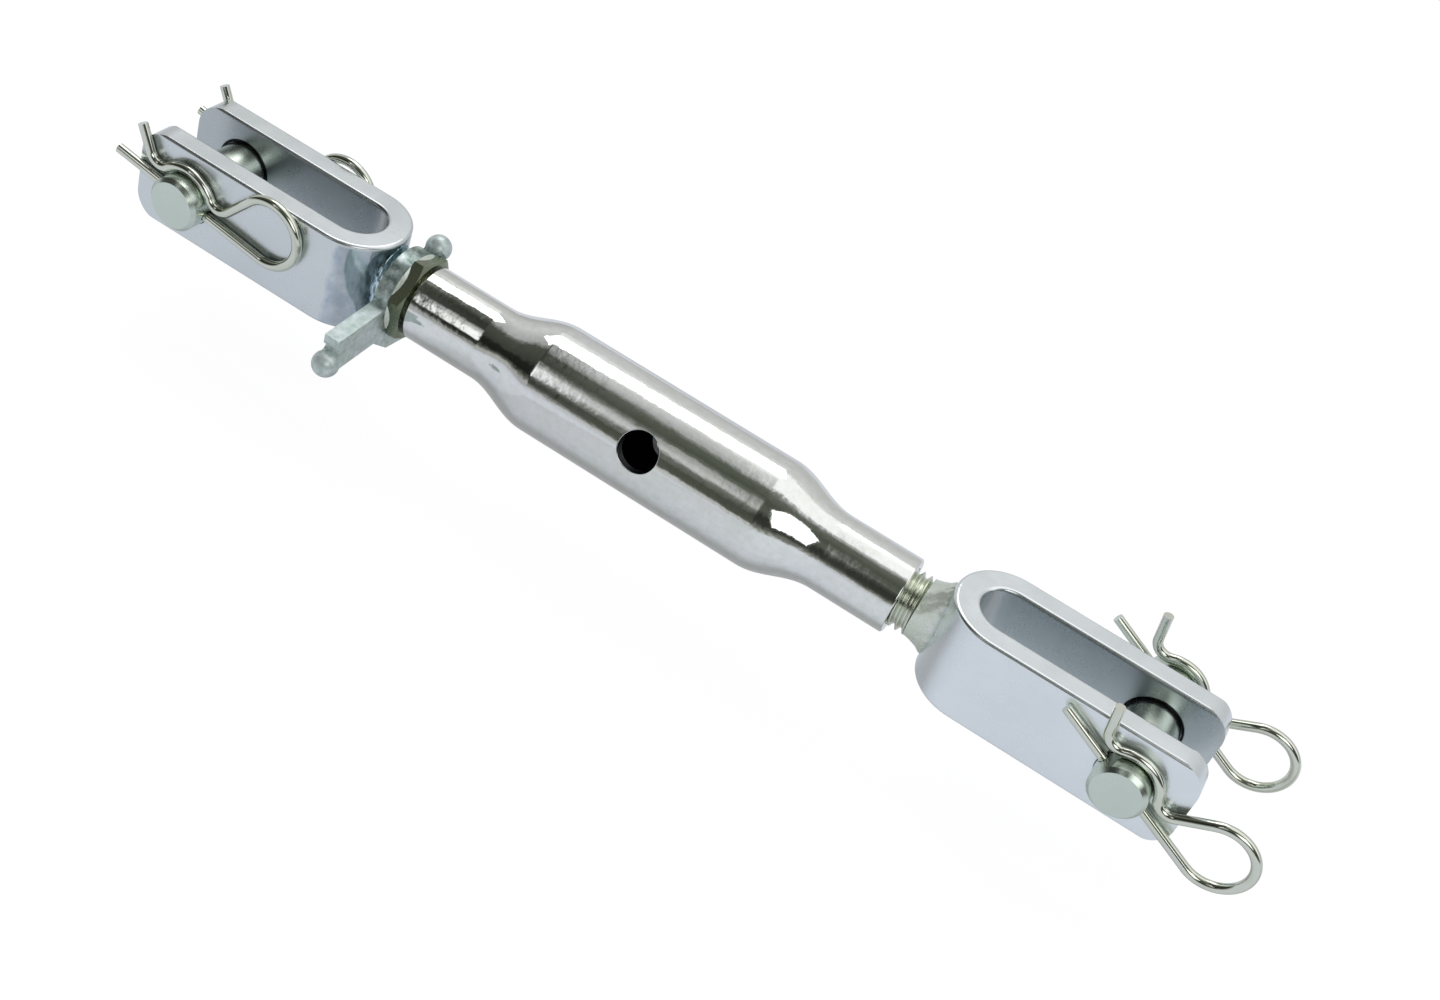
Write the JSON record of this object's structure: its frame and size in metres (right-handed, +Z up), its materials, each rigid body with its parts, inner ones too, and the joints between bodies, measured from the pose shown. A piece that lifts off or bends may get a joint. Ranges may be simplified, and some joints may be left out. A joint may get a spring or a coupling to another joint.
{
  "type": "tractor leveling arm",
  "caption": "Adjustable tractor leveling arm: a swaged turnbuckle sleeve with a threaded clevis fork, clevis pin and spring clips at each end, and a lock nut with a lever.",
  "frame": {"origin": "centre of the sleeve, where the axis of the tommy-bar hole crosses the axis of the arm", "axes": "+X along the arm towards the end without the lock nut, +Y along the clevis pins to the back, +Z up"},
  "size_m": [0.5042, 0.0951, 0.052],
  "materials": {
    "bright_zinc": "bright, mirror-like zinc plating",
    "satin_zinc": "satin blue-grey zinc plating",
    "thread_zinc": "passivated zinc on cut thread, slightly olive",
    "weld_zinc": "zinc plated weld bead",
    "nut_zinc": "olive passivated zinc",
    "lever_zinc": "satin zinc plating",
    "pin_zinc": "satin zinc plating",
    "spring_wire": "bright plated spring wire"
  },
  "bodies": {
    "sleeve": {"sleeve": "bright_zinc"},
    "left_rod": {"left_shank": "thread_zinc"},
    "left_clevis": {"left_fork": "satin_zinc", "left_foot": "thread_zinc"},
    "left_pin": {"left_pin": "pin_zinc"},
    "left_front_clip": {"left_front_clip": "spring_wire"},
    "left_back_clip": {"left_back_clip": "spring_wire"},
    "right_rod": {"right_shank": "thread_zinc"},
    "right_clevis": {"right_fork": "satin_zinc", "right_foot": "thread_zinc"},
    "right_pin": {"right_pin": "pin_zinc"},
    "right_front_clip": {"right_front_clip": "spring_wire"},
    "right_back_clip": {"right_back_clip": "spring_wire"},
    "lock_nut": {"lock_nut": "nut_zinc", "lock_lever": "lever_zinc", "lever_weld": "weld_zinc"}
  },
  "joints": [
    {"name": "left_thread_travel", "type": "slide", "parent": "sleeve", "child": "left_rod", "axis": [-1, 0, 0], "range_m": [0, 0.048]},
    {"name": "left_thread_turn", "type": "hinge", "parent": "left_rod", "child": "left_clevis", "pos_m": [-0.122, 0, 0], "axis": [1, 0, 0], "range_deg": [0, 5760]},
    {"name": "left_pin_turn", "type": "hinge", "parent": "left_clevis", "child": "left_pin", "pos_m": [-0.208, 0, 0], "axis": [0, 1, 0], "continuous": true},
    {"name": "left_front_clip_pull", "type": "slide", "parent": "left_pin", "child": "left_front_clip", "axis": [0.989, 0, -0.1478], "range_m": [0, 0.03], "deforming": ["left_front_clip"]},
    {"name": "left_back_clip_pull", "type": "slide", "parent": "left_pin", "child": "left_back_clip", "axis": [0.989, 0, -0.1478], "range_m": [0, 0.03], "deforming": ["left_back_clip"]},
    {"name": "right_thread_travel", "type": "slide", "parent": "sleeve", "child": "right_rod", "axis": [1, 0, 0], "range_m": [-0.006, 0.048]},
    {"name": "right_thread_turn", "type": "hinge", "parent": "right_rod", "child": "right_clevis", "pos_m": [0.1152, 0, 0], "axis": [1, 0, 0], "range_deg": [-720, 5760]},
    {"name": "right_pin_turn", "type": "hinge", "parent": "right_clevis", "child": "right_pin", "pos_m": [0.2072, 0, 0], "axis": [0, 1, 0], "continuous": true},
    {"name": "right_front_clip_pull", "type": "slide", "parent": "right_pin", "child": "right_front_clip", "axis": [0.8829, 0, -0.4695], "range_m": [0, 0.045], "deforming": ["right_front_clip"]},
    {"name": "right_back_clip_pull", "type": "slide", "parent": "right_pin", "child": "right_back_clip", "axis": [0.8829, 0, -0.4695], "range_m": [0, 0.045], "deforming": ["right_back_clip"]},
    {"name": "lock_nut_turn", "type": "hinge", "parent": "sleeve", "child": "lock_nut", "pos_m": [-0.1155, 0, 0], "axis": [1, 0, 0], "range_deg": [-45, 45]}
  ],
  "couplings": [
    {"joint": "left_thread_turn", "follows": "left_thread_travel", "rad_per_m": 2094.4},
    {"joint": "right_thread_turn", "follows": "right_thread_travel", "rad_per_m": 2094.4}
  ]
}
